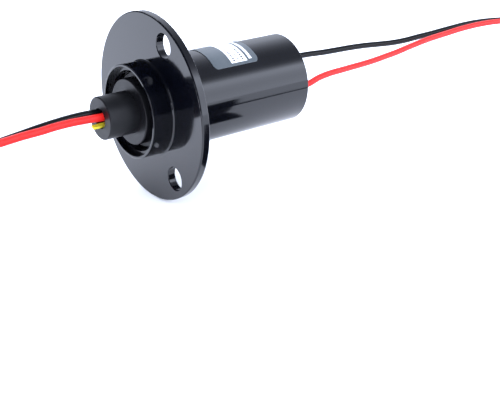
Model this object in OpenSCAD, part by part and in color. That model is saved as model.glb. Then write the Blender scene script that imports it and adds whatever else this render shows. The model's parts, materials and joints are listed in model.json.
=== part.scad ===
// Flanged capsule slip ring with two circuits and flying leads.
// The axis of rotation lies along Y, with the rotor's hub towards -Y and the leads of the stator towards +Y.
// The origin is the centre of the mounting face, the flange's face on the side of the long housing.
// Inside along_axis() a station counts forward from the mounting face, so the hub's end has the highest one.

/* [Flange] */
// Diameter of the mounting flange
flange_d = 44.5; // [43:0.5:60]
// Thickness of the mounting flange
flange_t = 2; // [1.6:0.1:4]
// Rounding of the flange's outer edges
flange_edge_r = 0.35; // [0.1:0.05:0.6]
// Distance of a bolt hole's centre from the flange's edge
bolt_edge = 4.45; // [4:0.05:5]
// Diameter of a bolt hole
bolt_hole_d = 5.6; // [3:0.1:6]
// Number of bolt holes
bolt_holes = 3; // [3:1:6]
// Angle of the first bolt hole, from +X towards +Z
bolt_angle = 65.5; // [0:0.5:120]
// Chamfer at both ends of a bolt hole
bolt_hole_chamfer = 0.15; // [0.05:0.05:0.4]

/* [Housing] */
// Diameter of the housing and of the collar in front of the flange
housing_d = 22; // [22:0.5:26]
// Length of the housing behind the mounting face
housing_l = 37.2; // [37.2:0.1:60]
// Wall of the housing round the brushes
housing_wall = 1.4; // [1.3:0.05:1.6]
// Length of the collar in front of the flange
collar_l = 5.4; // [5.2:0.1:8]
// Wall of the collar round the front bearing
collar_wall = 0.5; // [0.4:0.05:0.7]
// Fillet between the flange and the housing
junction_r = 0.4; // [0.1:0.05:0.8]
// Rounding of the collar's and the housing's end rims
rim_edge_r = 0.15; // [0.05:0.05:0.2]

/* [Rear cover] */
// Wall of the rim that the cover sits in
cover_rim = 1; // [0.8:0.05:1.2]
// Thickness of the rear cover
cover_t = 1.4; // [1:0.1:2]
// How far the cover lies inside the rim
cover_sink = 0.2; // [0.1:0.05:0.5]
// Distance of a lead exit from the cover's edge, measured across
exit_edge = 2.6; // [2.4:0.1:3]
// Height of the black lead's exit above the axis, the red one being as far below
exit_z = 0.8; // [0.5:0.1:1.2]
// Length of an exit slot beyond its lead
exit_slot_l = 1.6; // [1:0.1:2]
// Side clearance of a lead in its exit slot
exit_play = 0.2; // [0.1:0.05:0.3]
// How far the potting of an exit lies below the cover's face
seal_sink = 0.25; // [0.1:0.05:0.4]
// Diameter of the shallow dish in the middle of the cover
dish_d = 9.2; // [6:0.2:10]
// Depth of that dish
dish_t = 0.12; // [0.05:0.01:0.3]

/* [Rotor] */
// How far the rotor's disc stands out beyond the front bearing's bore
disc_lip = 0.25; // [0.15:0.05:0.5]
// How far the disc's face lies behind the collar's rim
disc_setback = 0.1; // [0:0.05:0.6]
// Diameter of the hub that is driven
hub_d = 10; // [8:0.1:12]
// Length of the hub in front of the disc
hub_l = 7.5; // [5:0.1:12]
// Bore of the hub and core for the leads
hub_bore_d = 4.8; // [4.8:0.1:5.2]
// Rounding of the hub's and the disc's edges
hub_edge_r = 0.3; // [0.1:0.05:0.6]
// Diameter of the core that the contact rings sit on
core_d = 8.8; // [8.6:0.1:9.4]
// Diameter of the core's neck between the stack and the rear bearing
neck_d = 6.4; // [6:0.1:6.6]
// Diameter of the hub's spigot in the core
spigot_d = 6; // [5.8:0.1:6.2]
// Length of that spigot
spigot_l = 3; // [2:0.5:4]

/* [Front bearing] */
// Height of the front bearing's section, from its bore to its outside
front_bearing_t = 3; // [2.8:0.1:3.2]
// Width of the front bearing
front_bearing_w = 4; // [3.5:0.1:4.2]
// Number of balls in the front bearing
front_balls = 20; // [16:1:20]
// How far the bearing cap reaches in over the bearing
cap_lip = 1.6; // [1.4:0.1:1.8]
// Width of the cap's flat face, outside its bevel
cap_face_w = 1; // [0.8:0.1:1.2]
// Depth of the bevel round the cap's opening
cap_bevel_t = 1.2; // [0.6:0.1:1.4]
// Thickness of the bearing cap
cap_t = 1.75; // [1.6:0.05:1.9]
// Thickness of the rubber seal in the front bearing
bearing_seal_t = 0.3; // [0.2:0.05:0.4]
// How far that seal lies inside the bearing's face
bearing_seal_sink = 0.15; // [0.1:0.05:0.3]
// Thickness of the rotor's flinger, which covers the bearing inside the cap
flinger_t = 0.4; // [0.3:0.05:0.6]
// Clearance round the flinger in the cap's opening
flinger_gap = 0.35; // [0.25:0.05:0.5]

/* [Rear bearing] */
// Height of the rear bearing's section, from its bore to its outside
rear_bearing_t = 3; // [2.8:0.1:3.2]
// Wall of the carrier between the rear bearing and a lead
carrier_web = 0.9; // [0.7:0.1:1.1]
// Width of the rear bearing
rear_bearing_w = 5; // [4:0.1:5.2]
// Number of balls in the rear bearing
rear_balls = 9; // [7:1:9]
// Lip of the carrier in front of the rear bearing
carrier_lip_t = 1; // [0.8:0.1:1.4]
// Room for the leads between the carrier and the cover
carrier_room = 2.2; // [1.5:0.1:4]

/* [Contact stack] */
// Number of contact rings, two or more for each circuit
ring_count = 4; // [2:2:4]
// Outer diameter of a contact ring
ring_d = 12; // [11.4:0.1:12.4]
// Width of a contact ring
ring_w = 3.2; // [3:0.1:3.4]
// Depth of a contact ring's V grooves
groove_t = 0.6; // [0.4:0.05:0.7]
// Distance between the two grooves of a ring
groove_pitch = 1.5; // [1.4:0.05:1.6]
// Outer diameter of a barrier
barrier_d = 14; // [13.4:0.1:14.4]
// Width of a barrier
barrier_w = 1.4; // [1:0.1:1.5]
// Outer diameter of the nut that holds the stack
nut_d = 11; // [10.4:0.1:11.6]
// Width of that nut
nut_w = 2; // [1.5:0.1:2.4]

/* [Brushes] */
// Diameter of a brush wire
brush_wire_d = 0.5; // [0.3:0.05:0.55]
// Length of a brush wire's arm
brush_arm_l = 9.4; // [8:0.1:10]
// Half of the distance between the feet of the two arms
brush_foot_x = 2.4; // [2.2:0.1:2.4]
// Height of the block that holds a brush's wires on the board
brush_block_t = 0.9; // [0.7:0.1:1]
// Thickness of the brush board
board_t = 0.8; // [0.6:0.1:1]
// Width of the brush board
board_w = 6; // [6:0.1:6.4]
// Diameter of a solder terminal
terminal_d = 0.9; // [0.6:0.1:1.2]
// Height of a solder terminal above the board
terminal_l = 2.2; // [1.5:0.1:2.6]

/* [Label] */
// Length of the label along the housing
label_l = 12.7; // [8:0.1:20]
// Distance of the label from the mounting face
label_start = 12; // [6:0.1:16]
// Half of the angle that the label covers round the housing
label_half_angle = 42; // [30:1:60]
// Thickness of the label
label_t = 0.12; // [0.08:0.01:0.2]
// Radius of the label's corners
label_corner_r = 1; // [0.4:0.1:2]

/* [Leads] */
// Diameter of a rotor lead over its insulation
rotor_lead_d = 1.8; // [1.4:0.1:1.9]
// Diameter of a stator lead over its insulation
stator_lead_d = 1.6; // [1.2:0.1:1.7]
// Half of the distance between the two rotor leads
rotor_lead_x = 0.95; // [0.95:0.01:1]
// Height of the black rotor lead above the axis where it leaves the hub
rotor_black_z = 1.1; // [1:0.05:1.1]
// Height of the red rotor lead above the axis where it leaves the hub
rotor_red_z = 0.6; // [0.4:0.05:0.7]
// Radius of a rotor lead's coil, at the middle of its turns
rotor_coil_r = 9.3; // [9:0.1:10.8]
// Turns of a rotor lead's coil
rotor_turns = 3.5; // [2.5:1:4.5]
// Radius of a stator lead's coil, at the middle of its turns
stator_coil_r = 8.9; // [8:0.1:9.6]
// Turns of a stator lead's coil
stator_turns = 2.5; // [1.5:1:3.5]
// Gap between neighbouring turns of a coil
turn_gap = 0.05; // [0.02:0.01:0.2]
// Diameter of a lead's tinned conductor
conductor_d = 1; // [0.6:0.1:1.1]
// Length of a lead's tinned end
tip_l = 6; // [3:0.5:10]
// Wall of a coil tie
tie_t = 0.4; // [0.3:0.05:0.8]
// Width of a coil tie
tie_w = 2.4; // [1.5:0.1:4]
// Thickness of the insulating sleeve in the hub's mouth
sleeve_t = 0.5; // [0.3:0.05:0.6]
// Length of that sleeve inside the hub
sleeve_in = 5; // [3:0.5:7]
// Length of that sleeve in front of the hub
sleeve_out = 1.6; // [1:0.1:3]
// Angle of that sleeve's upper edge, from +X
sleeve_start = 234; // [220:1:240]
// Angle that the sleeve covers round the bore
sleeve_angle = 31; // [25:1:60]

/* [Fits] */
// Radial clearance of a piece that is pressed or glued in its seat
seat_gap = 0.02; // [0.01:0.01:0.04]
// Axial clearance between pieces that stop against each other
end_gap = 0.05; // [0.02:0.01:0.08]
// Running clearance between a ball and its races
race_gap = 0.04; // [0.03:0.01:0.06]
// Clearance between a brush wire and its groove
brush_gap = 0.03; // [0.02:0.01:0.06]

/* [Hidden] */

$fn = 64;
black_plastic = "#16161c";
black_rubber = "#0c0c10";
lead_red = "#e0302c";
lead_black = "#1b1c22";
steel = "#b9bdc4";
gold = "#d8aa3c";
tinned = "#c9ccd2";

// Stations along the axis, forward of the mounting face.
collar_front = flange_t + collar_l;
disc_face = collar_front - disc_setback;
hub_end = disc_face + hub_l;
housing_rear = -housing_l;
cover_face = housing_rear + cover_sink;
cover_ledge = cover_face + cover_t;
bearing_shoulder = 0.2;
front_bearing_end = bearing_shoulder + front_bearing_w;
bearing_seal_face = front_bearing_end - bearing_seal_sink;
cap_back = front_bearing_end + end_gap;
cap_face = cap_back + cap_t;
stack_start = -1;
stack_l = ring_count * ring_w + (ring_count + 1) * barrier_w;
stack_end = stack_start - stack_l;
nut_end = stack_end - nut_w;
carrier_back = cover_ledge + carrier_room;
carrier_front = carrier_back + rear_bearing_w + carrier_lip_t;
rear_shoulder = carrier_front - carrier_lip_t;

// Radii from the axis.
housing_r = housing_d / 2;
bore_r = housing_r - housing_wall;
seat_r = housing_r - collar_wall;
cover_r = housing_r - cover_rim;
hub_bore_r = hub_bore_d / 2;
core_r = core_d / 2;
journal_r = seat_r - front_bearing_t;
disc_r = journal_r + disc_lip;
cap_bore_r = seat_r - cap_lip;
bolt_circle_r = flange_d / 2 - bolt_edge;
exit_x = cover_r - exit_edge;
rear_seat_r = exit_x - stator_lead_d / 2 - exit_play - carrier_web;
rear_journal_r = rear_seat_r - rear_bearing_t;
neck_gap = 0.6;
ring_vertex_r = ring_d / 2 - groove_t;
brush_wire_r = brush_wire_d / 2;
brush_path_r = ring_vertex_r + brush_wire_r * sqrt(2) + brush_gap;

// The board lies across the bottom of the housing's bore, on its two long edges.
board_drop = sqrt(pow(bore_r - 2 * seat_gap, 2) - pow(board_w / 2, 2)) - board_t;

// Balls run midway between the bore and the outside of their bearing.
front_pitch_r = (journal_r + seat_r) / 2;
front_ball_r = 0.264 * (seat_r - journal_r);
rear_pitch_r = (rear_journal_r + rear_seat_r) / 2;
rear_ball_r = 0.264 * (rear_seat_r - rear_journal_r);
race_wall = 0.31;

// Bus rods lie in grooves of the core and touch the rings' bores.
bus_rod_d = 1;
bus_rod_r = core_r - bus_rod_d / 2;
bus_groove_w = bus_rod_d + 2 * end_gap;
window_l = 4;
window_w = conductor_d + 0.8;
window_start = -5;

terminal_x = 2.2;
terminal_station = (nut_end + carrier_front) / 2;
board_end_room = 0.6;
board_start = bearing_shoulder - board_end_room;

// Each route goes on from its exit, and its last point is the top of the coil. Across the axis its points
// count from the axis itself, and along the axis they count from the exit.
rotor_red_exit = [rotor_lead_x, -hub_end, rotor_red_z];
rotor_red_points = [
    [0.95, -2, 0.7], [0.95, -4.5, 0.8], [0.95, -7, 0.9], [0.95, -9.5, 0.9], [0.95, -12, 0.8],
    [0.95, -14.5, 0.6], [0.95, -17, 0.5], [0.95, -19.5, 0.4], [0.95, -22, 0.2], [0.95, -24.5, 0],
    [0.95, -27, -0.35], [0.95, -30, -0.7], [0.95, -34, -1], [0.95, -40.2, -1]];
rotor_black_exit = [-rotor_lead_x, -hub_end, rotor_black_z];
rotor_black_points = [
    [-0.95, -2, 1.25], [-0.95, -4.5, 1.3], [-0.95, -7, 1.25], [-0.95, -9.5, 1.1], [-0.95, -12, 0.9],
    [-0.95, -14.5, 0.65], [-0.95, -17, 0.35], [-0.95, -19.5, 0.05], [-0.95, -22, -0.25],
    [-0.95, -24.5, -0.55], [-0.95, -27, -0.8], [-0.95, -30, -0.95], [-0.95, -34, -1], [-0.95, -40.2, -1]];
stator_red_exit = [exit_x, -cover_face, -exit_z];
stator_red_points = [
    [7.3, 3.5, -0.5], [7, 7, 0.3], [6.6, 11, 0.6], [6.1, 15.5, 0.55], [5.5, 20, 0.45], [4.9, 24.5, 0.35],
    [4.3, 29, 0.35], [3.7, 33.5, 0.5], [3.2, 38, 0.7], [2.7, 42.5, 1.1], [2.3, 47, 1.5], [1.9, 51.5, 1.8],
    [1.5, 56, 1.95], [1.2, 60.5, 2.1], [1, 65, 2.3], [0.9, 69.5, 2.4], [0.9, 74, 2.4], [0.9, 79, 2.2],
    [0.9, 84, 1.8], [0.9, 90, 1.1], [0.9, 97, 0.6], [0.9, 104, 0.6]];
stator_black_exit = [-exit_x, -cover_face, exit_z];
stator_black_points = [
    [-7.4, 3.5, 1.1], [-7.3, 7, 1.5], [-7.1, 11, 1.8], [-6.7, 15.5, 1.8], [-6.2, 20, 1.65],
    [-5.6, 24.5, 1.7], [-5, 29, 1.75], [-4.4, 33.5, 1.65], [-3.8, 38, 1.4], [-3.2, 42.5, 1.2],
    [-2.6, 47, 1.3], [-2.1, 51.5, 1.65], [-1.7, 56, 1.9], [-1.4, 60.5, 2.2], [-1.1, 65, 2.5],
    [-1, 69.5, 2.65], [-0.9, 74, 2.6], [-0.9, 79, 2.3], [-0.9, 84, 1.8], [-0.9, 90, 1.1],
    [-0.9, 97, 0.6], [-0.9, 104, 0.6]];
lead_sides = 8;

function route(exit, points) = concat([exit], [for (p = points) [p[0], exit[1] + p[1], p[2]]]);
function unit(v) = v / norm(v);
function last(list) = list[len(list) - 1];
function across(v) = unit(cross(v, [0, 0, 1]));

// Direction of a route at point i. Both ends run along the axis, so that they meet their pieces squarely.
function heading(path, i) = i == 0 || i == len(path) - 1
    ? [0, sign(last(path)[1] - path[0][1]), 0]
    : unit(path[i + 1] - path[i - 1]);

// Corners of the lead's section at point i of its route.
function section(path, i, r) = let (h = heading(path, i), side = across(h), up = cross(side, h))
    [for (k = [0 : lead_sides - 1]) let (a = (k + 0.5) * 360 / lead_sides)
        path[i] + r * (cos(a) * side + sin(a) * up)];

// Sides and both end caps of a swept lead with n sections.
function lead_faces(n) = concat(
    [for (i = [0 : n - 2], k = [0 : lead_sides - 1]) let (m = (k + 1) % lead_sides)
        [i * lead_sides + k, i * lead_sides + m, (i + 1) * lead_sides + m, (i + 1) * lead_sides + k]],
    [[for (k = [lead_sides - 1 : -1 : 0]) k]],
    [[for (k = [0 : lead_sides - 1]) (n - 1) * lead_sides + k]]);

function ring_station(i) = stack_start - i * barrier_w - (i - 0.5) * ring_w;
function barrier_station(i) = stack_start - (i - 1) * (ring_w + barrier_w) - barrier_w;

module along_axis() rotate([90, 0, 0]) children();

// A solid ring between two radii and two stations.
module tube(inner_r, outer_r, from, to) rotate_extrude()
    translate([inner_r, from]) square([outer_r - inner_r, to - from]);

// A rectangle whose corners on the right are rounded.
module round_right(x0, x1, y0, y1, r) {
    translate([x0, y0]) square([x1 - x0 - r, y1 - y0]);
    translate([x0, y0 + r]) square([x1 - x0, y1 - y0 - 2 * r]);
    translate([x1 - r, y0 + r]) circle(r);
    translate([x1 - r, y1 - r]) circle(r);
}

// Material that fills an inner corner at the origin with radius r, upwards for side 1 and down for -1.
module corner_fillet(r, side) difference() {
    translate([-r / 2, side < 0 ? -r : 0]) square([1.5 * r, r]);
    translate([r, side * r]) circle(r);
}

// A round rod between two points.
module rod(from, to, d) {
    v = to - from;
    translate(from) rotate([0, acos(v[2] / norm(v)), atan2(v[1], v[0])]) cylinder(d = d, h = norm(v));
}

// ---- Stator ----

module bolt_hole() {
    depth = flange_t + 2;
    cone = bolt_hole_d / 2 + bolt_hole_chamfer;
    translate([0, 0, -1]) cylinder(d = bolt_hole_d, h = depth);
    translate([0, 0, -bolt_hole_chamfer]) cylinder(r1 = cone + bolt_hole_chamfer, r2 = bolt_hole_d / 2,
        h = 2 * bolt_hole_chamfer);
    translate([0, 0, flange_t - bolt_hole_chamfer]) cylinder(r1 = bolt_hole_d / 2,
        r2 = cone + bolt_hole_chamfer, h = 2 * bolt_hole_chamfer);
}

module housing_profile() {
    difference() {
        union() {
            round_right(0, housing_r, housing_rear, collar_front, rim_edge_r);
            round_right(0, flange_d / 2, 0, flange_t, flange_edge_r);
            translate([housing_r, flange_t]) corner_fillet(junction_r, 1);
            translate([housing_r, 0]) corner_fillet(junction_r, -1);
        }
        translate([-1, bearing_shoulder]) square([seat_r + 1, collar_l + flange_t]);
        translate([-1, cover_ledge]) square([bore_r + 1, housing_l + flange_t]);
        translate([-1, housing_rear - 1]) square([cover_r + 1, cover_ledge - housing_rear + 1]);
    }
}

module housing() color(black_plastic) along_axis() difference() {
    rotate_extrude() housing_profile();
    for (i = [0 : bolt_holes - 1]) rotate([0, 0, bolt_angle + i * 360 / bolt_holes])
        translate([bolt_circle_r, 0, 0]) bolt_hole();
}

module rounded_plate(w, l, r) {
    translate([-w / 2 + r, -l / 2]) square([w - 2 * r, l]);
    translate([-w / 2, -l / 2 + r]) square([w, l - 2 * r]);
    for (sx = [-1, 1], sy = [-1, 1]) translate([sx * (w / 2 - r), sy * (l / 2 - r)]) circle(r);
}

module label() color("#6c7883") intersection() {
    along_axis() tube(housing_r, housing_r + label_t, -label_start - label_l, -label_start);
    translate([0, label_start + label_l / 2, 0]) linear_extrude(housing_r + 1)
        rounded_plate(2 * housing_r * sin(label_half_angle), label_l, label_corner_r);
}

// Outline of an exit slot round the red lead, which reaches up from it.
module exit_slot(clearance) {
    w = stator_lead_d + 2 * exit_play - 2 * clearance;
    translate([exit_x, -exit_z]) circle(d = w);
    translate([exit_x, -exit_z + exit_slot_l]) circle(d = w);
    translate([exit_x - w / 2, -exit_z]) square([w, exit_slot_l]);
}

module rear_cover() color(black_plastic) along_axis() difference() {
    rotate_extrude() round_right(0, cover_r - seat_gap, cover_face, cover_ledge - end_gap, rim_edge_r);
    translate([0, 0, cover_face - 1]) cylinder(d = dish_d, h = 1 + dish_t);
    for (turn = [0, 180]) rotate([0, 0, turn]) translate([0, 0, cover_face - 1])
        linear_extrude(cover_t + 2) exit_slot(0);
}

module exit_seal() along_axis() translate([0, 0, cover_face + seal_sink])
    linear_extrude(cover_t - seal_sink - end_gap) difference() {
        exit_slot(seat_gap);
        translate([exit_x, -exit_z]) circle(d = stator_lead_d + 2 * seat_gap);
    }

module exit_seal_red() color("#dfe3e6") exit_seal();

module exit_seal_black() color("#dfe3e6") rotate([0, 180, 0]) exit_seal();

module bearing_cap() color(black_rubber) along_axis() difference() {
    tube(cap_bore_r, seat_r - seat_gap, cap_back, cap_face);
    translate([0, 0, cap_face - cap_bevel_t])
        cylinder(h = cap_bevel_t, r1 = cap_bore_r, r2 = seat_r - cap_face_w);
    translate([0, 0, cap_face]) cylinder(h = 1, r = seat_r - cap_face_w);
}

// The groove that balls of radius ball_r run in.
module race_groove(pitch_r, ball_r, station) translate([0, 0, station]) rotate_extrude()
    translate([pitch_r, 0]) circle(ball_r + race_gap);

module outer_ring(outer_r, pitch_r, ball_r, wall, from, to) along_axis() difference() {
    tube(outer_r - wall * 2 * (outer_r - pitch_r), outer_r - seat_gap, from, to);
    race_groove(pitch_r, ball_r, (from + to) / 2);
}

module inner_ring(inner_r, pitch_r, ball_r, wall, from, to) along_axis() difference() {
    tube(inner_r, inner_r + wall * 2 * (pitch_r - inner_r), from, to);
    race_groove(pitch_r, ball_r, (from + to) / 2);
}

// The balls, held at their distance by a thin cage.
module ball_cage(pitch_r, ball_r, balls, station) along_axis() translate([0, 0, station]) {
    for (i = [0 : balls - 1]) rotate([0, 0, i * 360 / balls]) translate([pitch_r, 0, 0]) sphere(ball_r);
    tube(pitch_r - ball_r / 5, pitch_r + ball_r / 5, -ball_r / 2, ball_r / 2);
}

module front_outer_ring() color(steel)
    outer_ring(seat_r, front_pitch_r, front_ball_r, race_wall, bearing_shoulder, front_bearing_end);

module front_ball_cage() color(steel)
    ball_cage(front_pitch_r, front_ball_r, front_balls, (bearing_shoulder + front_bearing_end) / 2);

module front_bearing_seal() color(black_rubber) along_axis() {
    inner = journal_r + race_wall * 2 * (front_pitch_r - journal_r) + 2 * race_gap;
    outer = seat_r - race_wall * 2 * (seat_r - front_pitch_r) - seat_gap;
    tube(inner, outer, bearing_seal_face - bearing_seal_t, bearing_seal_face);
}

module rear_outer_ring() color(steel)
    outer_ring(rear_seat_r, rear_pitch_r, rear_ball_r, race_wall, carrier_back, rear_shoulder);

module rear_ball_cage() color(steel)
    ball_cage(rear_pitch_r, rear_ball_r, rear_balls, (carrier_back + rear_shoulder) / 2);

module bearing_carrier() color("#3a3a40") along_axis() difference() {
    tube(neck_d / 2 + neck_gap, bore_r - seat_gap, carrier_back, carrier_front);
    translate([0, 0, carrier_back - 1]) cylinder(r = rear_seat_r, h = rear_bearing_w + 1);
    for (turn = [0, 180]) rotate([0, 0, turn]) translate([exit_x, -exit_z, carrier_back - 1])
        cylinder(d = stator_lead_d + 2 * exit_play, h = carrier_front - carrier_back + 2);
}

module brush_board() color("#1f6b3a") translate([-board_w / 2, -board_start, -board_drop - board_t])
    cube([board_w, board_start - carrier_front, board_t]);

// The two arms of one wire, which pass the ring's groove on both sides. They start inside the block.
module brush_wire() {
    foot_y = brush_block_t / 2 - board_drop;
    arm_angle = atan2(-foot_y, -brush_foot_x) - asin(brush_path_r / norm([brush_foot_x, foot_y]));
    for (side = [-1, 1]) {
        foot = [side * brush_foot_x, foot_y, 0];
        rod(foot, foot + brush_arm_l * [side * cos(arm_angle), sin(arm_angle), 0], brush_wire_d);
    }
}

// A block on the board that holds two wires, one for each groove of ring i.
module brush(i) color(gold) along_axis() translate([0, 0, ring_station(i)]) {
    for (side = [-1, 1]) translate([0, 0, side * groove_pitch / 2]) brush_wire();
    translate([-brush_foot_x - brush_wire_d, -board_drop, -ring_w / 2])
        cube([2 * (brush_foot_x + brush_wire_d), brush_block_t, ring_w]);
}

module terminal(side) color(tinned) along_axis() translate([side * terminal_x, -board_drop, terminal_station])
    rotate([-90, 0, 0]) cylinder(d = terminal_d, h = terminal_l);

module terminal_red() terminal(1);

module terminal_black() terminal(-1);

// The insulated end of a stator lead in the carrier, and its conductor to the terminal.
module stator_tail(side) along_axis() {
    strip = carrier_front + 1;
    rod([side * exit_x, -side * exit_z, cover_face], [side * exit_x, -side * exit_z, strip], stator_lead_d);
    joint_x = terminal_x + (terminal_d + conductor_d) / 2;
    top = [side * joint_x, terminal_l - conductor_d / 2 - board_drop, terminal_station];
    rod([side * exit_x, -side * exit_z, strip - conductor_d / 2], top, conductor_d);
}

module stator_tail_red() color(lead_red) stator_tail(1);

module stator_tail_black() color(lead_black) stator_tail(-1);

// ---- Rotor ----

module rotor_hub() color(black_plastic) along_axis() difference() {
    union() {
        rotate_extrude() {
            round_right(0, hub_d / 2, disc_face - 1, hub_end, hub_edge_r);
            round_right(0, disc_r, cap_back, disc_face, hub_edge_r);
            translate([0, cap_back]) square([cap_bore_r - flinger_gap, flinger_t]);
        }
        cylinder(r = journal_r - seat_gap, h = cap_back);
        translate([0, 0, stack_start]) cylinder(d = ring_d + 1, h = -stack_start);
        translate([0, 0, stack_start - spigot_l]) cylinder(d = spigot_d, h = spigot_l + 1);
    }
    translate([0, 0, stack_start - spigot_l - 1]) cylinder(r = hub_bore_r, h = hub_end + spigot_l + 4);
}

// Groove in the core for one bus rod, with a window through which its conductor comes.
module bus_groove() {
    translate([-bus_groove_w / 2, core_r - bus_rod_d - end_gap, stack_end - 1])
        cube([bus_groove_w, core_r, stack_l + 1 - spigot_l]);
    translate([-window_w / 2, 0, window_start - window_l]) cube([window_w, core_r, window_l]);
}

module rotor_core() color("#2b2b30") along_axis() difference() {
    union() {
        translate([0, 0, nut_end]) cylinder(r = core_r, h = stack_start - end_gap - nut_end);
        translate([0, 0, rear_shoulder]) cylinder(d = neck_d, h = nut_end - rear_shoulder + 1);
        translate([0, 0, carrier_back]) cylinder(r = rear_journal_r - seat_gap, h = rear_bearing_w + 1);
    }
    translate([0, 0, stack_end]) cylinder(r = hub_bore_r, h = stack_l + 1);
    translate([0, 0, stack_start - spigot_l - end_gap])
        cylinder(d = spigot_d + 2 * seat_gap, h = spigot_l + 2);
    bus_groove();
    rotate([0, 0, 180]) bus_groove();
}

module v_groove(station) translate([ring_vertex_r, station])
    polygon([[0, 0], [groove_t + 1, groove_t + 1], [groove_t + 1, -groove_t - 1]]);

module contact_ring(i) color(gold) along_axis() translate([0, 0, ring_station(i)]) rotate_extrude()
    difference() {
        translate([core_r + seat_gap, -ring_w / 2 + end_gap])
            square([ring_d / 2 - core_r - seat_gap, ring_w - 2 * end_gap]);
        for (side = [-1, 1]) v_groove(side * groove_pitch / 2);
    }

module barrier(i) color("#8a5a2b") along_axis()
    tube(core_r + seat_gap, barrier_d / 2, barrier_station(i), barrier_station(i) + barrier_w);

module stack_nut() color("#d9c9a0") along_axis() difference() {
    tube(core_r + seat_gap, nut_d / 2, nut_end, stack_end - end_gap);
    for (a = [0 : 90 : 270]) rotate([0, 0, a]) translate([nut_d / 2, 0, nut_end - 1])
        cylinder(d = nut_w, h = 1 + nut_w / 2);
}

module front_inner_ring() color(steel)
    inner_ring(journal_r, front_pitch_r, front_ball_r, race_wall, bearing_shoulder, front_bearing_end);

module rear_inner_ring() color(steel)
    inner_ring(rear_journal_r, rear_pitch_r, rear_ball_r, race_wall, carrier_back, rear_shoulder);

module bus_rod() along_axis() translate([0, bus_rod_r, stack_end])
    cylinder(d = bus_rod_d, h = stack_l - spigot_l - end_gap);

module bus_rod_red() color("#c87038") bus_rod();

module bus_rod_black() color("#c87038") rotate([0, 180, 0]) bus_rod();

// A tongue of sheet that keeps the leads off the edge of the hub's bore, below and to the left of them.
module insulating_sleeve() color("#e6dc3a") along_axis() translate([0, 0, hub_end - sleeve_in])
    rotate([0, 0, sleeve_start]) rotate_extrude(angle = sleeve_angle)
        translate([hub_bore_r - sleeve_t - seat_gap, 0]) square([sleeve_t, sleeve_in + sleeve_out]);

// The insulated end of a rotor lead in the hub, and its conductor to the bus rod.
module rotor_tail(exit, side) along_axis() {
    strip = stack_start - spigot_l;
    rod([exit[0], exit[2], strip], [exit[0], exit[2], hub_end], rotor_lead_d);
    joint_r = bus_rod_r - (bus_rod_d + conductor_d) / 2;
    rod([exit[0], exit[2], strip + conductor_d / 2], [0, side * joint_r, window_start - window_l / 2],
        conductor_d);
}

module rotor_tail_red() color(lead_red) rotor_tail(rotor_red_exit, 1);

module rotor_tail_black() color(lead_black) rotor_tail(rotor_black_exit, -1);

// ---- Leads ----

rotor_red_route = route(rotor_red_exit, rotor_red_points);
rotor_red_top = last(rotor_red_route);
rotor_black_route = route(rotor_black_exit, rotor_black_points);
rotor_black_top = last(rotor_black_route);
stator_red_route = route(stator_red_exit, stator_red_points);
stator_red_top = last(stator_red_route);
stator_black_route = route(stator_black_exit, stator_black_points);
stator_black_top = last(stator_black_route);

module lead(path, d) polyhedron(
    points = [for (i = [0 : len(path) - 1]) each section(path, i, d / 2)],
    faces = lead_faces(len(path)), convexity = 8);

module rotor_lead_red() color(lead_red) lead(rotor_red_route, rotor_lead_d);

module rotor_lead_black() color(lead_black) lead(rotor_black_route, rotor_lead_d);

module stator_lead_red() color(lead_red) lead(stator_red_route, stator_lead_d);

module stator_lead_black() color(lead_black)
    lead(stator_black_route, stator_lead_d);

function coil_reach(turns, d) = turns * (d + turn_gap);

// Turns side by side, hanging below their first point and going out from it to one side.
module coil(top, side, r, turns, d) translate(top - [0, 0, r]) rotate([0, 90, 0]) rotate_extrude() {
    reach = side * coil_reach(turns, d);
    translate([r, 0]) circle(d / 2);
    translate([r, reach]) circle(d / 2);
    translate([r - d / 2, min(0, reach)]) square([d, abs(reach)]);
}

// The tinned end lies against the last turn, at the bottom of the coil.
module tip(top, side, r, turns, d) {
    x = top[0] + side * (coil_reach(turns, d) + (d + conductor_d) / 2 + 2 * end_gap);
    translate([x, top[1] - tip_l / 2, top[2] - 2 * r]) rotate([-90, 0, 0])
        cylinder(d = conductor_d, h = tip_l);
}

// A tie round both coils of a pair, with its head outside.
module coil_tie(top, away, r, turns, d, first_x) {
    play = 4 * end_gap;
    inner_w = 2 * (first_x + coil_reach(turns, d) + d / 2 + play);
    inner_t = d + 2 * play;
    translate([0, top[1] + away * r, top[2] - r]) {
        difference() {
            cube([inner_w + 2 * tie_t, inner_t + 2 * tie_t, tie_w], center = true);
            cube([inner_w, inner_t, tie_w + 1], center = true);
        }
        translate([0, away * (inner_t / 2 + tie_t + 0.5), 0]) cube([3.2, 1, tie_w + 0.8], center = true);
    }
}

module rotor_coil_red() color(lead_red) coil(rotor_red_top, 1, rotor_coil_r, rotor_turns, rotor_lead_d);

module rotor_coil_black() color(lead_black)
    coil(rotor_black_top, -1, rotor_coil_r, rotor_turns, rotor_lead_d);

module stator_coil_red() color(lead_red) coil(stator_red_top, 1, stator_coil_r, stator_turns, stator_lead_d);

module stator_coil_black() color(lead_black)
    coil(stator_black_top, -1, stator_coil_r, stator_turns, stator_lead_d);

module rotor_tip_red() color(tinned) tip(rotor_red_top, 1, rotor_coil_r, rotor_turns, rotor_lead_d);

module rotor_tip_black() color(tinned) tip(rotor_black_top, -1, rotor_coil_r, rotor_turns, rotor_lead_d);

module stator_tip_red() color(tinned) tip(stator_red_top, 1, stator_coil_r, stator_turns, stator_lead_d);

module stator_tip_black() color(tinned) tip(stator_black_top, -1, stator_coil_r, stator_turns, stator_lead_d);

module rotor_coil_tie() color("#2a2a2e")
    coil_tie(rotor_red_top, -1, rotor_coil_r, rotor_turns, rotor_lead_d, rotor_red_top[0]);

module stator_coil_tie() color("#2a2a2e")
    coil_tie(stator_red_top, 1, stator_coil_r, stator_turns, stator_lead_d, stator_red_top[0]);

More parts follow.
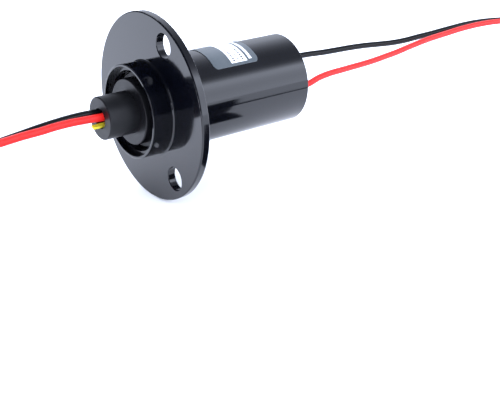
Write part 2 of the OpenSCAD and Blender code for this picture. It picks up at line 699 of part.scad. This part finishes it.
housing();
label();
rear_cover();
exit_seal_red();
exit_seal_black();
bearing_cap();
front_outer_ring();
front_ball_cage();
front_bearing_seal();
rear_outer_ring();
rear_ball_cage();
bearing_carrier();
brush_board();
terminal_red();
terminal_black();
for (i = [1 : ring_count]) brush(i);
stator_tail_red();
stator_tail_black();
stator_lead_red();
stator_lead_black();
stator_coil_red();
stator_coil_black();
stator_tip_red();
stator_tip_black();
stator_coil_tie();
rotor_hub();
rotor_core();
stack_nut();
front_inner_ring();
rear_inner_ring();
for (i = [1 : ring_count]) contact_ring(i);
for (i = [1 : ring_count + 1]) barrier(i);
bus_rod_red();
bus_rod_black();
insulating_sleeve();
rotor_tail_red();
rotor_tail_black();
rotor_lead_red();
rotor_lead_black();
rotor_coil_red();
rotor_coil_black();
rotor_tip_red();
rotor_tip_black();
rotor_coil_tie();
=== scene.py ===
"""Looks of the flanged capsule slip ring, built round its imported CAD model.

Everything is in the row's frame: metres, the axis of rotation along Y, and the origin in the middle of the
flange's mounting face. The rotor's hub points to -Y and the stator's leads leave towards +Y.
"""

import json
import math

import bpy
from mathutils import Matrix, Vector


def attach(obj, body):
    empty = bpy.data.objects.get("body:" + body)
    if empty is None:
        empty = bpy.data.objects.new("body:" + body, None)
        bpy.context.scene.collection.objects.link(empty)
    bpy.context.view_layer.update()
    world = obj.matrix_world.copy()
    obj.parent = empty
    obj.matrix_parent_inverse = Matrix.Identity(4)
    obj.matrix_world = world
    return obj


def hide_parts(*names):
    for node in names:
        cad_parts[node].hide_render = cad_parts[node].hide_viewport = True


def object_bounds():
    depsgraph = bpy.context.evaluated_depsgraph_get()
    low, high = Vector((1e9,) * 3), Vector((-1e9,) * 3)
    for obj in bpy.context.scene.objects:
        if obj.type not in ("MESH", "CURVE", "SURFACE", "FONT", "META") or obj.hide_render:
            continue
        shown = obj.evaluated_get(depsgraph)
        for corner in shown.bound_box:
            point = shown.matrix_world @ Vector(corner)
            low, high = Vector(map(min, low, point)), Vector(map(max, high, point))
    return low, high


MM = 0.001

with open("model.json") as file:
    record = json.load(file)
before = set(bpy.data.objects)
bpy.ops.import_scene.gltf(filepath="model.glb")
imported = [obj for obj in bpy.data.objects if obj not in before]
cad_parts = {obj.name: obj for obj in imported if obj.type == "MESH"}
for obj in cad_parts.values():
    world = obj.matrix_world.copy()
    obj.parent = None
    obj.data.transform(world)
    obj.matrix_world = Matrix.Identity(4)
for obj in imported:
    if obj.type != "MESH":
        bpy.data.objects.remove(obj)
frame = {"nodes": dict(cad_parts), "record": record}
cad_low, cad_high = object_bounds()
nodes = frame["nodes"]


# ---- Camera, floor and light ----

def look_from(location, elevation, azimuth, lens):
    camera_data = bpy.data.cameras.new("camera")
    camera_data.lens = lens
    camera_data.sensor_width = 36
    camera_data.clip_start = 0.005
    camera_data.clip_end = 20
    camera = bpy.data.objects.new("camera", camera_data)
    camera.location = location
    camera.rotation_euler = (math.radians(90 - elevation), 0, math.radians(azimuth))
    bpy.context.scene.collection.objects.link(camera)
    bpy.context.scene.camera = camera


look_from((0.190, -0.1157, 0.076), 24.36, 52.99, 72)

bpy.context.scene.view_settings.view_transform = "Standard"


def new_object(name, data):
    made = bpy.data.objects.new(name, data)
    bpy.context.scene.collection.objects.link(made)
    return made


def mesh_object(name, points, faces):
    mesh = bpy.data.meshes.new(name)
    mesh.from_pydata([tuple(p) for p in points], [], faces)
    mesh.validate()
    mesh.polygons.foreach_set("use_smooth", [True] * len(mesh.polygons))
    mesh.update()
    return new_object(name, mesh)


class Nodes:
    """A small helper that builds one material's node tree."""

    def __init__(self, name):
        self.material = bpy.data.materials.new(name)
        self.material.use_nodes = True
        self.tree = self.material.node_tree
        self.shader = self.tree.nodes["Principled BSDF"]

    def add(self, kind, inputs=None, **settings):
        node = self.tree.nodes.new(kind)
        for key, value in settings.items():
            setattr(node, key, value)
        for key, value in (inputs or {}).items():
            self.feed(node.inputs[key], value)
        return node

    def feed(self, socket, value):
        if isinstance(value, bpy.types.NodeSocket):
            self.tree.links.new(value, socket)
        elif isinstance(value, bpy.types.Node):
            self.tree.links.new(value.outputs[0], socket)
        else:
            socket.default_value = value

    def set(self, **values):
        for key, value in values.items():
            self.feed(self.shader.inputs[key.replace("_", " ")], value)

    def math(self, operation, a, b=0.0):
        node = self.add("ShaderNodeMath", operation=operation)
        for socket, value in zip(node.inputs, (a, b)):
            self.feed(socket, value)
        return node.outputs[0]

    def position(self):
        return self.add("ShaderNodeTexCoord").outputs["Object"]

    def noise(self, scale, detail=3.0):
        node = self.add("ShaderNodeTexNoise", {"Scale": scale, "Detail": detail, "Vector": self.position()})
        return node.outputs["Fac"]

    def ramp(self, factor, low, high, out_low=0.0, out_high=1.0):
        node = self.add("ShaderNodeMapRange", {"From Min": low, "From Max": high, "To Min": out_low,
                                               "To Max": out_high, "Value": factor})
        return node.outputs["Result"]

    def mix(self, factor, a, b):
        node = self.add("ShaderNodeMix", data_type="RGBA")
        self.feed(node.inputs["Factor"], factor)
        self.feed(node.inputs["A"], a if not isinstance(a, tuple) else (*a, 1))
        self.feed(node.inputs["B"], b if not isinstance(b, tuple) else (*b, 1))
        return node.outputs["Result"]

    def bump(self, height, strength, distance):
        node = self.add("ShaderNodeBump", {"Strength": strength, "Distance": distance, "Height": height})
        self.feed(self.shader.inputs["Normal"], node.outputs["Normal"])


def two_tone(name, dark, light, rough, scale, bump=0.1, bump_scale=None, depth=0.00002, **values):
    """A material whose colour and roughness drift between two values, with fine grain."""
    m = Nodes(name)
    drift = m.noise(scale, 4)
    grain = m.noise(bump_scale or scale * 12, 2)
    m.set(Base_Color=m.mix(m.ramp(drift, 0.3, 0.7), dark, light),
          Roughness=m.ramp(drift, 0.3, 0.7, rough[0], rough[1]), **values)
    m.bump(grain, bump, depth)
    return m.material


plastic_gloss = two_tone("black_plastic_gloss", (0.0008, 0.0010, 0.0022), (0.0012, 0.0015, 0.0030),
                         (0.08, 0.13), 180, 0.04, 1400, 0.00001, IOR=1.5)
plastic_satin = two_tone("black_plastic_satin", (0.003, 0.003, 0.004), (0.005, 0.005, 0.006),
                         (0.34, 0.44), 260, 0.25, 2600, 0.00001, IOR=1.32)
rubber = two_tone("black_rubber", (0.001, 0.001, 0.002), (0.002, 0.002, 0.003), (0.14, 0.22), 400,
                  0.08, 3000, IOR=1.4)
nylon = two_tone("black_nylon", (0.020, 0.020, 0.022), (0.028, 0.028, 0.031), (0.40, 0.50), 500, 0.2, 3000)
potting = two_tone("clear_potting", (0.70, 0.74, 0.76), (0.80, 0.82, 0.84), (0.08, 0.20), 600, 0.3, 1500,
                   0.00003, Transmission_Weight=0.6, IOR=1.5)
bearing_steel = two_tone("bearing_steel", (0.50, 0.52, 0.55), (0.62, 0.64, 0.66), (0.16, 0.26), 500,
                         0.1, 4000, Metallic=1.0)
inner_plastic = two_tone("inner_plastic", (0.030, 0.030, 0.033), (0.045, 0.045, 0.050), (0.45, 0.55), 300,
                         0.2)
ivory_plastic = two_tone("ivory_plastic", (0.60, 0.54, 0.36), (0.70, 0.63, 0.44), (0.40, 0.50), 300, 0.2)
laminate = two_tone("laminate", (0.22, 0.10, 0.035), (0.34, 0.17, 0.06), (0.35, 0.50), 700, 0.25)
circuit_board = two_tone("circuit_board", (0.010, 0.12, 0.035), (0.02, 0.18, 0.06), (0.25, 0.35), 500, 0.2)
gold_alloy = two_tone("gold_alloy", (0.75, 0.50, 0.18), (0.85, 0.62, 0.26), (0.12, 0.22), 500, 0.1, 4000,
                      Metallic=1.0)
copper = two_tone("copper", (0.60, 0.27, 0.13), (0.72, 0.36, 0.19), (0.18, 0.30), 500, 0.1, Metallic=1.0)
tinned = two_tone("tinned_copper", (0.62, 0.63, 0.65), (0.74, 0.75, 0.77), (0.22, 0.38), 900, 0.4, 2500,
                  Metallic=1.0)
yellow_film = two_tone("yellow_film", (0.72, 0.62, 0.03), (0.80, 0.70, 0.05), (0.30, 0.45), 700, 0.3)
red_sleeve = two_tone("red_insulation", (0.46, 0.006, 0.004), (0.54, 0.010, 0.007), (0.30, 0.40), 260,
                      0.12, 2200, IOR=1.3)
black_sleeve = two_tone("black_insulation", (0.001, 0.0015, 0.002), (0.002, 0.0025, 0.003),
                        (0.26, 0.36), 260, 0.12, 2200, IOR=1.3)


def printed_label():
    """A slate label with a white panel of short bars, a dashed white stripe and a plain green field.

    Stations run along the axis in millimetres. Angles run round the housing in degrees, from +X upwards.
    """
    m = Nodes("label_film")
    place = m.add("ShaderNodeSeparateXYZ", {"Vector": m.position()})
    station = m.math("MULTIPLY", place.outputs["Y"], 1 / MM)
    angle = m.math("MULTIPLY", m.math("ARCTAN2", place.outputs["Z"], place.outputs["X"]), 180 / math.pi)

    def between(value, low, high):
        return m.math("MULTIPLY", m.math("GREATER_THAN", value, low), m.math("LESS_THAN", value, high))

    def field(y_low, y_high, a_low, a_high):
        return m.math("MULTIPLY", between(station, y_low, y_high), between(angle, a_low, a_high))

    def dashes(pitch, share, shift):
        turn = m.math("DIVIDE", m.math("ADD", angle, shift), pitch)
        return m.math("LESS_THAN", m.math("FRACT", turn), share)

    def paint(colour, mask, ink):
        return m.mix(mask, colour, ink)

    drift = m.noise(300, 4)
    white, slate_ink = (0.80, 0.82, 0.84), (0.03, 0.035, 0.045)
    colour = m.mix(m.ramp(drift, 0.3, 0.7), (0.055, 0.068, 0.076), (0.065, 0.078, 0.086))
    colour = paint(colour, field(17.1, 21.6, 52, 128), white)
    for y_low, y_high, a_high, pitch, share in ((17.8, 18.5, 84, 3.1, 0.62), (19.1, 19.7, 76, 2.5, 0.55),
                                                (20.3, 20.9, 92, 3.7, 0.70)):
        row = m.math("MULTIPLY", field(y_low, y_high, 54.5, a_high), dashes(pitch, share, 0.4 * pitch))
        colour = paint(colour, row, slate_ink)
    stripe = m.math("MULTIPLY", field(22.3, 23.1, 54, 106), dashes(2.9, 0.68, 1.1))
    colour = paint(colour, stripe, white)
    colour = paint(colour, field(22.2, 23.4, 112, 124), (0.02, 0.30, 0.09))
    m.set(Base_Color=colour, Roughness=m.ramp(drift, 0.3, 0.7, 0.30, 0.36))
    m.bump(m.noise(3600, 2), 0.05, 0.00001)
    return m.material


label_film = printed_label()

FINISHES = {
    "black_plastic": plastic_gloss, "black_rubber": rubber, "nylon": nylon, "label_film": label_film,
    "clear_potting": potting, "bearing_steel": bearing_steel, "inner_plastic": inner_plastic,
    "ivory_plastic": ivory_plastic, "laminate": laminate, "circuit_board": circuit_board,
    "gold_alloy": gold_alloy, "copper": copper, "tinned_copper": tinned, "yellow_sleeve": yellow_film,
    "red_insulation": red_sleeve, "black_insulation": black_sleeve,
}
for subpart in frame["record"]["subparts"]:
    node = nodes[subpart["node"]]
    node.data.materials.clear()
    node.data.materials.append(FINISHES[subpart["material_slot"]])
# The hub is of the same black plastic as the housing, but its surface is duller.
nodes["rotor_hub"].data.materials[0] = plastic_satin


# ---- Leads ----

ROTOR_LEAD_D = 1.8 * MM
STATOR_LEAD_D = 1.6 * MM
CONDUCTOR_D = 1.0 * MM
TIP_L = 6 * MM
TURN_GAP = 0.05 * MM
STRAND_R = 0.17 * MM
STRAND_CIRCLE_R = 0.32 * MM
STRANDS_ROUND_CORE = 6
STRAND_TWIST_TURNS = 0.5
TIP_OVERLAP = 0.3 * MM
HUB_END = -14.8
COVER_FACE = 37.0

# Where each lead leaves the body, in millimetres.
EXITS = {
    "rotor_red": (0.95, HUB_END, 0.6), "rotor_black": (-0.95, HUB_END, 1.1),
    "stator_red": (7.4, COVER_FACE, -0.8), "stator_black": (-7.4, COVER_FACE, 0.8),
}

# The rest of each route, in millimetres. Across the axis a point counts from the axis itself, and along the
# axis it counts from the exit. The last point is the top of the coil.
ROUTES = {
    "rotor_red": [
        (0.95, -2, 0.7), (0.95, -4.5, 0.8), (0.95, -7, 0.9), (0.95, -9.5, 0.9), (0.95, -12, 0.8),
        (0.95, -14.5, 0.6), (0.95, -17, 0.5), (0.95, -19.5, 0.4), (0.95, -22, 0.2), (0.95, -24.5, 0),
        (0.95, -27, -0.35), (0.95, -30, -0.7), (0.95, -34, -1), (0.95, -40.2, -1)],
    "rotor_black": [
        (-0.95, -2, 1.25), (-0.95, -4.5, 1.3), (-0.95, -7, 1.25), (-0.95, -9.5, 1.1), (-0.95, -12, 0.9),
        (-0.95, -14.5, 0.65), (-0.95, -17, 0.35), (-0.95, -19.5, 0.05), (-0.95, -22, -0.25),
        (-0.95, -24.5, -0.55), (-0.95, -27, -0.8), (-0.95, -30, -0.95), (-0.95, -34, -1), (-0.95, -40.2, -1)],
    "stator_red": [
        (7.3, 3.5, -0.5), (7, 7, 0.3), (6.6, 11, 0.6), (6.1, 15.5, 0.55), (5.5, 20, 0.45), (4.9, 24.5, 0.35),
        (4.3, 29, 0.35), (3.7, 33.5, 0.5), (3.2, 38, 0.7), (2.7, 42.5, 1.1), (2.3, 47, 1.5), (1.9, 51.5, 1.8),
        (1.5, 56, 1.95), (1.2, 60.5, 2.1), (1, 65, 2.3), (0.9, 69.5, 2.4), (0.9, 74, 2.4), (0.9, 79, 2.2),
        (0.9, 84, 1.8), (0.9, 90, 1.1), (0.9, 97, 0.6), (0.9, 104, 0.6)],
    "stator_black": [
        (-7.4, 3.5, 1.1), (-7.3, 7, 1.5), (-7.1, 11, 1.8), (-6.7, 15.5, 1.8), (-6.2, 20, 1.65),
        (-5.6, 24.5, 1.7), (-5, 29, 1.75), (-4.4, 33.5, 1.65), (-3.8, 38, 1.4), (-3.2, 42.5, 1.2),
        (-2.6, 47, 1.3), (-2.1, 51.5, 1.65), (-1.7, 56, 1.9), (-1.4, 60.5, 2.2), (-1.1, 65, 2.5),
        (-1, 69.5, 2.65), (-0.9, 74, 2.6), (-0.9, 79, 2.3), (-0.9, 84, 1.8), (-0.9, 90, 1.1),
        (-0.9, 97, 0.6), (-0.9, 104, 0.6)],
}


def smooth_path(points, steps=6):
    """A Catmull-Rom curve through the points, with its ends running straight along the axis."""
    away = Vector((0, math.copysign(2 * MM, points[-1].y - points[0].y), 0))
    p = [points[0] - away, *points, points[-1] + away]
    made = []
    for i in range(1, len(p) - 2):
        for k in range(steps):
            t = k / steps
            made.append(0.5 * (2 * p[i] + (p[i + 1] - p[i - 1]) * t
                               + (2 * p[i - 1] - 5 * p[i] + 4 * p[i + 1] - p[i + 2]) * t ** 2
                               + (3 * p[i] - p[i - 1] - 3 * p[i + 1] + p[i + 2]) * t ** 3))
    return made + [points[-1]]


def eased(t):
    t = min(1.0, max(0.0, t))
    return t * t * (3 - 2 * t)


def coil_path(top, way, side, radius, turns, diameter, per_turn=36):
    """Turns below their first point that step outwards and end beside the last turn at the bottom."""
    last_turn = turns - math.asin(TIP_L / 2 / radius) / math.tau
    count = round(last_turn * per_turn)
    made = []
    for k in range(1, count + 1):
        turn = last_turn * k / count
        a = math.tau * turn
        aside = (diameter + CONDUCTOR_D) / 2 + 2 * TURN_GAP
        x = turn * (diameter + TURN_GAP) + aside * eased(1 - (last_turn - turn) / 0.2)
        made.append(top + Vector((side * x, way * radius * math.sin(a), -radius * (1 - math.cos(a)))))
    return made


def curve_tube(name, points, diameter, material):
    curve = bpy.data.curves.new(name, "CURVE")
    curve.dimensions = "3D"
    spline = curve.splines.new("POLY")
    spline.points.add(len(points) - 1)
    for target, point in zip(spline.points, points):
        target.co = (*point, 1)
    curve.bevel_depth = diameter / 2
    curve.bevel_resolution = 4
    curve.use_fill_caps = True
    curve.materials.append(material)
    return new_object(name, curve)


def tube_mesh(name, paths, radius, sides):
    """Tubes with closed ends along the paths, in one mesh."""
    points, faces = [], []
    for path in paths:
        start = len(points)
        for i, centre in enumerate(path):
            along = (path[min(i + 1, len(path) - 1)] - path[max(i - 1, 0)]).normalized()
            aside = Vector((0, 0, 1)) if abs(along.z) < 0.9 else Vector((1, 0, 0))
            across = along.cross(aside).normalized()
            up = across.cross(along)
            for k in range(sides):
                a = math.tau * k / sides
                points.append(centre + radius * (math.cos(a) * across + math.sin(a) * up))
        for i in range(len(path) - 1):
            for k in range(sides):
                a, b = start + i * sides + k, start + i * sides + (k + 1) % sides
                faces.append((a, b, b + sides, a + sides))
        faces.append([start + k for k in range(sides)][::-1])
        faces.append([start + (len(path) - 1) * sides + k for k in range(sides)])
    return mesh_object(name, points, faces)


def conductor_tip(name, start, end):
    """Seven tinned strands with a slight twist, from the end of the insulation to the end of the tip."""
    paths = [[start.lerp(end, k / 8) for k in range(9)]]
    along = (end - start).normalized()
    across = along.cross(Vector((0, 0, 1))).normalized()
    up = across.cross(along)
    for strand in range(STRANDS_ROUND_CORE):
        path = []
        for k in range(25):
            a = math.tau * (strand / STRANDS_ROUND_CORE + STRAND_TWIST_TURNS * k / 24)
            outwards = math.cos(a) * across + math.sin(a) * up
            path.append(start.lerp(end, k / 24) + STRAND_CIRCLE_R * outwards)
        paths.append(path)
    tip = tube_mesh(name, paths, STRAND_R, 8)
    tip.data.materials.append(tinned)
    return tip


def free_lead(body, colour, way, side, radius, turns, diameter, material):
    """A lead from the body's exit through its route and its coil to the tinned tip."""
    route_name = f"{body}_{colour}"
    exit_mm = EXITS[route_name]
    route = [MM * Vector(exit_mm)] + [MM * Vector((x, exit_mm[1] + y, z)) for x, y, z in ROUTES[route_name]]
    coil = coil_path(route[-1], way, side, radius, turns, diameter)
    lead = curve_tube(f"{route_name}_lead_skin", smooth_path(route) + coil, diameter, material)
    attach(lead, body)
    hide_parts(f"{body}_lead_{colour}", f"{body}_coil_{colour}")
    end = coil[-1] + Vector((0, -way * TIP_L, -(coil[-1].z - (route[-1].z - 2 * radius))))
    tip = conductor_tip(f"{route_name}_tip_strands", coil[-1] + Vector((0, way * TIP_OVERLAP, 0)), end)
    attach(tip, body)
    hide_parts(f"{body}_tip_{colour}")


for lead_colour, lead_side, sleeve_material in (("red", 1, red_sleeve), ("black", -1, black_sleeve)):
    free_lead("rotor", lead_colour, -1, lead_side, 9.3 * MM, 3.5, ROTOR_LEAD_D, sleeve_material)
    free_lead("stator", lead_colour, 1, lead_side, 8.9 * MM, 2.5, STATOR_LEAD_D, sleeve_material)


# ---- Studio ----

TENT_TINT = (0.78, 0.84, 1.0)
FLOOR_GAP = 0.05 * MM
FLAG_GLOW = 0.05
AMBIENT_STRENGTH = 3.5


def glow_only(piece, strength):
    """Makes a piece shine evenly or by a socket, and lets only reflections see it."""
    look = Nodes(piece.name)
    look.set(Base_Color=(0, 0, 0, 1), Emission_Color=(*TENT_TINT, 1), Roughness=1.0)
    look.feed(look.shader.inputs["Specular IOR Level"], 0.0)
    look.feed(look.shader.inputs["Emission Strength"], strength(look) if callable(strength) else strength)
    piece.data.materials.append(look.material)
    piece.visible_camera = False
    piece.visible_diffuse = False
    piece.visible_transmission = False
    piece.visible_shadow = False


def light_tunnel(radius, half_length, floor_level, bands):
    """A light tent round the axis, whose brightness depends on the angle above the floor at +X, in degrees."""
    steps = 60
    points, faces = [], []
    for k in range(steps + 1):
        a = math.pi * k / steps
        for y in (-half_length, half_length):
            points.append((radius * math.cos(a), y, floor_level + radius * math.sin(a)))
    for k in range(steps):
        faces.append((2 * k, 2 * k + 1, 2 * k + 3, 2 * k + 2))
    tunnel = mesh_object("light_tunnel", points, faces)

    def brightness(look):
        place = look.add("ShaderNodeSeparateXYZ", {"Vector": look.position()})
        angle = look.math("ARCTAN2", place.outputs["Z"], place.outputs["X"])
        ramp = look.add("ShaderNodeValToRGB", {"Fac": look.math("DIVIDE", angle, math.pi)})
        stops = ramp.color_ramp.elements
        while len(stops) < len(bands):
            stops.new(0.5)
        peak = max(value for _, value in bands)
        for stop, (degrees, value) in zip(stops, bands):
            stop.position = degrees / 180
            stop.color = (value / peak, value / peak, value / peak, 1)
        # The tent is dark in front of the rotor and fades in towards the stator's end.
        front = look.ramp(place.outputs["Y"], -0.06, 0.06, 0.08, 1.0)
        return look.math("MULTIPLY", look.math("MULTIPLY", ramp.outputs["Color"], peak), front)

    glow_only(tunnel, brightness)


floor_z = cad_low.z - FLOOR_GAP
floor = mesh_object("floor", [(-4, -4, floor_z), (4, -4, floor_z), (4, 4, floor_z), (-4, 4, floor_z)],
                    [(0, 1, 2, 3)])
floor_look = Nodes("floor_white")
floor_look.set(Base_Color=floor_look.mix(floor_look.noise(3), (0.84, 0.84, 0.84), (0.86, 0.86, 0.86)),
               Roughness=0.9)
floor_look.shader.inputs["Specular IOR Level"].default_value = 0.0
floor.data.materials.append(floor_look.material)

light_tunnel(radius=0.8, half_length=3, floor_level=floor_z, bands=[
    (0, 4.3), (18, 3.9), (28, 4.2), (36, 5.0), (42, 5.0), (48, 2.6), (54, 1.1), (62, 0.65), (83, 0.55),
    (95, 0.65), (109, 1.0), (124, 1.6), (142, 2.0), (168, 1.2), (180, 0.9)])


def flag(name, corners):
    """A dark flag beside the object, with its corners in millimetres, which only reflections see."""
    points = [[MM * c for c in corner] for corner in corners]
    glow_only(mesh_object(name, points, [(0, 1, 2, 3)]), FLAG_GLOW)


flag("flag_upright", [(40, 10, -22), (40, 36, -22), (40, 36, -2.3), (40, 10, -2.3)])
flag("flag_flat", [(21, 8, -22), (40, 8, -22), (40, 36, -22), (21, 32, -22)])
flag("flag_bar", [(40, 36, -13.5), (40, 64, -12.5), (40, 64, -9), (40, 36, -8.5)])


world = bpy.data.worlds.new("studio")
bpy.context.scene.world = world
world.use_nodes = True
world.node_tree.nodes["Background"].inputs["Color"].default_value = (*TENT_TINT, 1)
world.node_tree.nodes["Background"].inputs["Strength"].default_value = AMBIENT_STRENGTH
